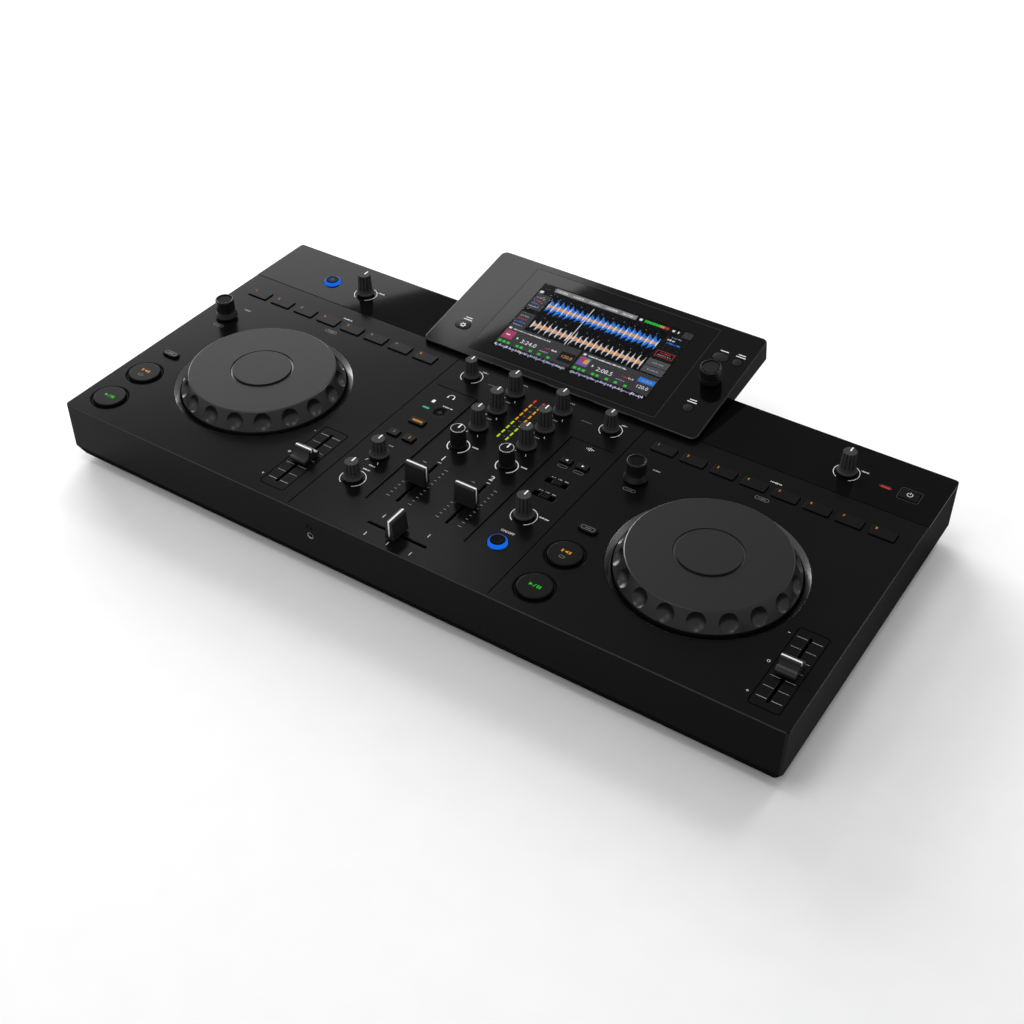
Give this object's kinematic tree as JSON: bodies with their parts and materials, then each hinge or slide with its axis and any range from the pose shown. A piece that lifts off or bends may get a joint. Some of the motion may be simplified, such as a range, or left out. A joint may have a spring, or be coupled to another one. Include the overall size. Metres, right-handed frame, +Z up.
{
  "type": "dj controller",
  "caption": "Flat two-deck DJ controller with dimpled jog wheels, a mixer between them, pads, faders and a fixed tilted display at the back.",
  "frame": {"origin": "on the ground plane at the soles of the feet, under the middle of the overall width and depth", "axes": "+X to the user's right along the width, +Y away from the user, +Z up out of the top panel"},
  "size_m": [0.61, 0.343, 0.0813],
  "materials": {
    "base": "matte",
    "board": "solder mask",
    "button": "satin",
    "case": "fine matte texture",
    "display": "satin",
    "glass": "polished",
    "gloss": "polished",
    "jog": "fine satin texture",
    "knob": "matte",
    "metal": "turned",
    "pad": "matte",
    "screen": "lit",
    "socket": "satin"
  },
  "bodies": {
    "chassis": {"upper_case": "case", "lower_case": "base", "rear_gloss_panel": "gloss", "control_board": "board", "jack_board": "socket", "headphone_socket": "socket", "display_housing": "display", "display_glass": "glass", "lcd_screen": "screen"},
    "back_key": {"back_key": "gloss"},
    "beat_button_left": {"beat_button_left": "button"},
    "beat_button_right": {"beat_button_right": "button"},
    "browse_encoder": {"browse_encoder": "knob"},
    "browse_shaft": {"browse_shaft": "metal"},
    "channel_fader_left": {"channel_fader_left": "knob"},
    "channel_fader_right": {"channel_fader_right": "knob"},
    "crossfader": {"crossfader": "knob"},
    "cue_button_left": {"cue_button_left": "button"},
    "cue_button_right": {"cue_button_right": "button"},
    "deck_settings_key": {"deck_settings_key": "gloss"},
    "effect_button": {"effect_button": "button"},
    "effect_channel_switch": {"effect_channel_switch": "knob"},
    "effect_depth_knob": {"effect_depth_knob": "knob"},
    "effect_select_switch": {"effect_select_switch": "knob"},
    "filter_knob_left": {"filter_knob_left": "knob"},
    "filter_knob_right": {"filter_knob_right": "knob"},
    "headphone_cue_button_left": {"headphone_cue_button_left": "button"},
    "headphone_cue_button_right": {"headphone_cue_button_right": "button"},
    "headphone_level_knob": {"headphone_level_knob": "knob"},
    "headphone_mix_knob": {"headphone_mix_knob": "knob"},
    "high_knob_left": {"high_knob_left": "knob"},
    "high_knob_right": {"high_knob_right": "knob"},
    "input_button": {"input_button": "button"},
    "input_level_knob": {"input_level_knob": "knob"},
    "jog_wheel_left": {"jog_wheel_left": "jog"},
    "jog_wheel_right": {"jog_wheel_right": "jog"},
    "loop_encoder_left": {"loop_encoder_left": "knob"},
    "loop_encoder_right": {"loop_encoder_right": "knob"},
    "loop_shaft_left": {"loop_shaft_left": "metal"},
    "loop_shaft_right": {"loop_shaft_right": "metal"},
    "low_knob_left": {"low_knob_left": "knob"},
    "low_knob_right": {"low_knob_right": "knob"},
    "master_cue_button": {"master_cue_button": "button"},
    "master_level_knob": {"master_level_knob": "knob"},
    "mid_knob_left": {"mid_knob_left": "knob"},
    "mid_knob_right": {"mid_knob_right": "knob"},
    "mixer_settings_key": {"mixer_settings_key": "gloss"},
    "pad_bank_left": {"pad_bank_left": "pad"},
    "pad_bank_right": {"pad_bank_right": "pad"},
    "pairing_button": {"pairing_button": "button"},
    "play_button_left": {"play_button_left": "button"},
    "play_button_right": {"play_button_right": "button"},
    "power_button": {"power_button": "button"},
    "shift_button_left": {"shift_button_left": "button"},
    "shift_button_right": {"shift_button_right": "button"},
    "tag_key": {"tag_key": "gloss"},
    "tempo_fader_left": {"tempo_fader_left": "knob"},
    "tempo_fader_right": {"tempo_fader_right": "knob"},
    "trim_knob_left": {"trim_knob_left": "knob"},
    "trim_knob_right": {"trim_knob_right": "knob"}
  },
  "joints": [
    {"name": "jog_wheel_left_spin", "type": "hinge", "parent": "chassis", "child": "jog_wheel_left", "pos_m": [-0.19505, -0.06613, 0.053], "axis": [0, 0, -1], "continuous": true},
    {"name": "pad_bank_left_press", "type": "slide", "parent": "chassis", "child": "pad_bank_left", "axis": [0, 0, -1], "range_m": [0, 0.0008], "stiffness_N_per_m": 100, "springref_m": -0.004},
    {"name": "jog_wheel_right_spin", "type": "hinge", "parent": "chassis", "child": "jog_wheel_right", "pos_m": [0.19505, -0.06613, 0.053], "axis": [0, 0, -1], "continuous": true},
    {"name": "pad_bank_right_press", "type": "slide", "parent": "chassis", "child": "pad_bank_right", "axis": [0, 0, -1], "range_m": [0, 0.0008], "stiffness_N_per_m": 100, "springref_m": -0.004},
    {"name": "trim_knob_left_turn", "type": "hinge", "parent": "chassis", "child": "trim_knob_left", "pos_m": [-0.0633, 0.02947, 0.053], "axis": [0, 0, -1], "range_deg": [-150, 150]},
    {"name": "low_knob_left_turn", "type": "hinge", "parent": "chassis", "child": "low_knob_left", "pos_m": [-0.0215, -0.02253, 0.053], "axis": [0, 0, -1], "range_deg": [-150, 150]},
    {"name": "mid_knob_left_turn", "type": "hinge", "parent": "chassis", "child": "mid_knob_left", "pos_m": [-0.0215, 0.00297, 0.053], "axis": [0, 0, -1], "range_deg": [-150, 150]},
    {"name": "high_knob_left_turn", "type": "hinge", "parent": "chassis", "child": "high_knob_left", "pos_m": [-0.0215, 0.02847, 0.053], "axis": [0, 0, -1], "range_deg": [-150, 150]},
    {"name": "filter_knob_left_turn", "type": "hinge", "parent": "chassis", "child": "filter_knob_left", "pos_m": [-0.0215, -0.04893, 0.053], "axis": [0, 0, -1], "range_deg": [-150, 150]},
    {"name": "trim_knob_right_turn", "type": "hinge", "parent": "chassis", "child": "trim_knob_right", "pos_m": [0.0633, 0.02947, 0.053], "axis": [0, 0, -1], "range_deg": [-150, 150]},
    {"name": "low_knob_right_turn", "type": "hinge", "parent": "chassis", "child": "low_knob_right", "pos_m": [0.0215, -0.02253, 0.053], "axis": [0, 0, -1], "range_deg": [-150, 150]},
    {"name": "mid_knob_right_turn", "type": "hinge", "parent": "chassis", "child": "mid_knob_right", "pos_m": [0.0215, 0.00297, 0.053], "axis": [0, 0, -1], "range_deg": [-150, 150]},
    {"name": "high_knob_right_turn", "type": "hinge", "parent": "chassis", "child": "high_knob_right", "pos_m": [0.0215, 0.02847, 0.053], "axis": [0, 0, -1], "range_deg": [-150, 150]},
    {"name": "filter_knob_right_turn", "type": "hinge", "parent": "chassis", "child": "filter_knob_right", "pos_m": [0.0215, -0.04893, 0.053], "axis": [0, 0, -1], "range_deg": [-150, 150]},
    {"name": "headphone_mix_knob_turn", "type": "hinge", "parent": "chassis", "child": "headphone_mix_knob", "pos_m": [-0.0638, -0.09013, 0.053], "axis": [0, 0, -1], "range_deg": [-150, 150]},
    {"name": "headphone_level_knob_turn", "type": "hinge", "parent": "chassis", "child": "headphone_level_knob", "pos_m": [-0.0638, -0.12183, 0.053], "axis": [0, 0, -1], "range_deg": [-150, 150]},
    {"name": "effect_depth_knob_turn", "type": "hinge", "parent": "chassis", "child": "effect_depth_knob", "pos_m": [0.0626, -0.08943, 0.053], "axis": [0, 0, -1], "range_deg": [-150, 150]},
    {"name": "input_level_knob_turn", "type": "hinge", "parent": "chassis", "child": "input_level_knob", "pos_m": [-0.207, 0.07977, 0.053], "axis": [0, 0, -1], "range_deg": [-150, 150]},
    {"name": "master_level_knob_turn", "type": "hinge", "parent": "chassis", "child": "master_level_knob", "pos_m": [0.2322, 0.07977, 0.053], "axis": [0, 0, -1], "range_deg": [-150, 150]},
    {"name": "play_button_left_press", "type": "slide", "parent": "chassis", "child": "play_button_left", "axis": [0, 0, -1], "range_m": [0, 0.001], "stiffness_N_per_m": 100, "springref_m": -0.004},
    {"name": "cue_button_left_press", "type": "slide", "parent": "chassis", "child": "cue_button_left", "axis": [0, 0, -1], "range_m": [0, 0.001], "stiffness_N_per_m": 100, "springref_m": -0.004},
    {"name": "shift_button_left_press", "type": "slide", "parent": "chassis", "child": "shift_button_left", "axis": [0, 0, -1], "range_m": [0, 0.0008], "stiffness_N_per_m": 100, "springref_m": -0.004},
    {"name": "headphone_cue_button_left_press", "type": "slide", "parent": "chassis", "child": "headphone_cue_button_left", "axis": [0, 0, -1], "range_m": [0, 0.0008], "stiffness_N_per_m": 100, "springref_m": -0.004},
    {"name": "beat_button_left_press", "type": "slide", "parent": "chassis", "child": "beat_button_left", "axis": [0, 0, -1], "range_m": [0, 0.0008], "stiffness_N_per_m": 100, "springref_m": -0.004},
    {"name": "play_button_right_press", "type": "slide", "parent": "chassis", "child": "play_button_right", "axis": [0, 0, -1], "range_m": [0, 0.001], "stiffness_N_per_m": 100, "springref_m": -0.004},
    {"name": "cue_button_right_press", "type": "slide", "parent": "chassis", "child": "cue_button_right", "axis": [0, 0, -1], "range_m": [0, 0.001], "stiffness_N_per_m": 100, "springref_m": -0.004},
    {"name": "shift_button_right_press", "type": "slide", "parent": "chassis", "child": "shift_button_right", "axis": [0, 0, -1], "range_m": [0, 0.0008], "stiffness_N_per_m": 100, "springref_m": -0.004},
    {"name": "headphone_cue_button_right_press", "type": "slide", "parent": "chassis", "child": "headphone_cue_button_right", "axis": [0, 0, -1], "range_m": [0, 0.0008], "stiffness_N_per_m": 100, "springref_m": -0.004},
    {"name": "beat_button_right_press", "type": "slide", "parent": "chassis", "child": "beat_button_right", "axis": [0, 0, -1], "range_m": [0, 0.0008], "stiffness_N_per_m": 100, "springref_m": -0.004},
    {"name": "master_cue_button_press", "type": "slide", "parent": "chassis", "child": "master_cue_button", "axis": [0, 0, -1], "range_m": [0, 0.0008], "stiffness_N_per_m": 100, "springref_m": -0.004},
    {"name": "pairing_button_press", "type": "slide", "parent": "chassis", "child": "pairing_button", "axis": [0, 0, -1], "range_m": [0, 0.0006], "stiffness_N_per_m": 100, "springref_m": -0.004},
    {"name": "effect_button_press", "type": "slide", "parent": "chassis", "child": "effect_button", "axis": [0, 0, -1], "range_m": [0, 0.0008], "stiffness_N_per_m": 100, "springref_m": -0.004},
    {"name": "input_button_press", "type": "slide", "parent": "chassis", "child": "input_button", "axis": [0, 0, -1], "range_m": [0, 0.0008], "stiffness_N_per_m": 100, "springref_m": -0.004},
    {"name": "power_button_press", "type": "slide", "parent": "chassis", "child": "power_button", "axis": [0, 0, -1], "range_m": [0, 0.001], "stiffness_N_per_m": 100, "springref_m": -0.004},
    {"name": "mixer_settings_key_press", "type": "slide", "parent": "chassis", "child": "mixer_settings_key", "axis": [0, 0.1771, -0.9842], "range_m": [0, 0.0004], "stiffness_N_per_m": 100, "springref_m": -0.004},
    {"name": "deck_settings_key_press", "type": "slide", "parent": "chassis", "child": "deck_settings_key", "axis": [0, 0.1771, -0.9842], "range_m": [0, 0.0004], "stiffness_N_per_m": 100, "springref_m": -0.004},
    {"name": "back_key_press", "type": "slide", "parent": "chassis", "child": "back_key", "axis": [0, 0.1771, -0.9842], "range_m": [0, 0.0004], "stiffness_N_per_m": 100, "springref_m": -0.004},
    {"name": "tag_key_press", "type": "slide", "parent": "chassis", "child": "tag_key", "axis": [0, 0.1771, -0.9842], "range_m": [0, 0.0004], "stiffness_N_per_m": 100, "springref_m": -0.004},
    {"name": "effect_channel_switch_slide", "type": "slide", "parent": "chassis", "child": "effect_channel_switch", "axis": [1, 0, 0], "range_m": [-0.0045, 0.0045]},
    {"name": "effect_select_switch_slide", "type": "slide", "parent": "chassis", "child": "effect_select_switch", "axis": [1, 0, 0], "range_m": [-0.0045, 0.0045]},
    {"name": "tempo_fader_left_slide", "type": "slide", "parent": "chassis", "child": "tempo_fader_left", "axis": [0, 1, 0], "range_m": [-0.03, 0.03]},
    {"name": "channel_fader_left_slide", "type": "slide", "parent": "chassis", "child": "channel_fader_left", "axis": [0, 1, 0], "range_m": [-0.0225, 0.0225]},
    {"name": "tempo_fader_right_slide", "type": "slide", "parent": "chassis", "child": "tempo_fader_right", "axis": [0, 1, 0], "range_m": [-0.03, 0.03]},
    {"name": "channel_fader_right_slide", "type": "slide", "parent": "chassis", "child": "channel_fader_right", "axis": [0, 1, 0], "range_m": [-0.0225, 0.0225]},
    {"name": "crossfader_slide", "type": "slide", "parent": "chassis", "child": "crossfader", "axis": [1, 0, 0], "range_m": [-0.0225, 0.0225]},
    {"name": "loop_shaft_left_press", "type": "slide", "parent": "chassis", "child": "loop_shaft_left", "axis": [0, 0, -1], "range_m": [0, 0.0008], "stiffness_N_per_m": 100, "springref_m": -0.004},
    {"name": "loop_encoder_left_turn", "type": "hinge", "parent": "loop_shaft_left", "child": "loop_encoder_left", "pos_m": [-0.2819, -0.01153, 0.053], "axis": [0, 0, -1], "continuous": true},
    {"name": "loop_shaft_right_press", "type": "slide", "parent": "chassis", "child": "loop_shaft_right", "axis": [0, 0, -1], "range_m": [0, 0.0008], "stiffness_N_per_m": 100, "springref_m": -0.004},
    {"name": "loop_encoder_right_turn", "type": "hinge", "parent": "loop_shaft_right", "child": "loop_encoder_right", "pos_m": [0.1082, -0.01153, 0.053], "axis": [0, 0, -1], "continuous": true},
    {"name": "browse_shaft_press", "type": "slide", "parent": "chassis", "child": "browse_shaft", "axis": [0, 0.1771, -0.9842], "range_m": [0, 0.0008], "stiffness_N_per_m": 100, "springref_m": -0.004},
    {"name": "browse_encoder_turn", "type": "hinge", "parent": "browse_shaft", "child": "browse_encoder", "pos_m": [0.1054, 0.10831, 0.06747], "axis": [0, 0.1771, -0.9842], "continuous": true}
  ]
}
